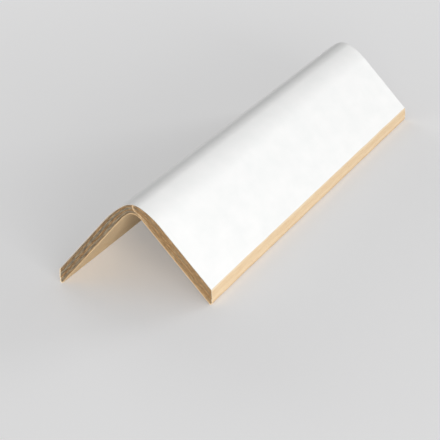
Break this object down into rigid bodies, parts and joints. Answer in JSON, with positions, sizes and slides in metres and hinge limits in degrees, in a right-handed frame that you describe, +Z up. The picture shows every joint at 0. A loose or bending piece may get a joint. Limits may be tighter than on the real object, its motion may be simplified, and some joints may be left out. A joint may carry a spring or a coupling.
{
  "type": "edge protector",
  "caption": "Short length of folded L-shaped laminated board with a white outer face, kraft inner face and ply ends in view, which guards a packed edge under strapping.",
  "frame": {"origin": "on the floor, below the middle of the bend, with the board standing as a tent on its two long edges", "axes": "+Y along the bend, +Z up through the bend, +X towards the right flange as seen from the front end"},
  "size_m": [0.0616, 0.23, 0.0347],
  "materials": {
    "laminated_board": "matt white outer facing, brown kraft inside and at the edges"
  },
  "bodies": {
    "root": {"edge_protector": "laminated_board"}
  },
  "joints": []
}
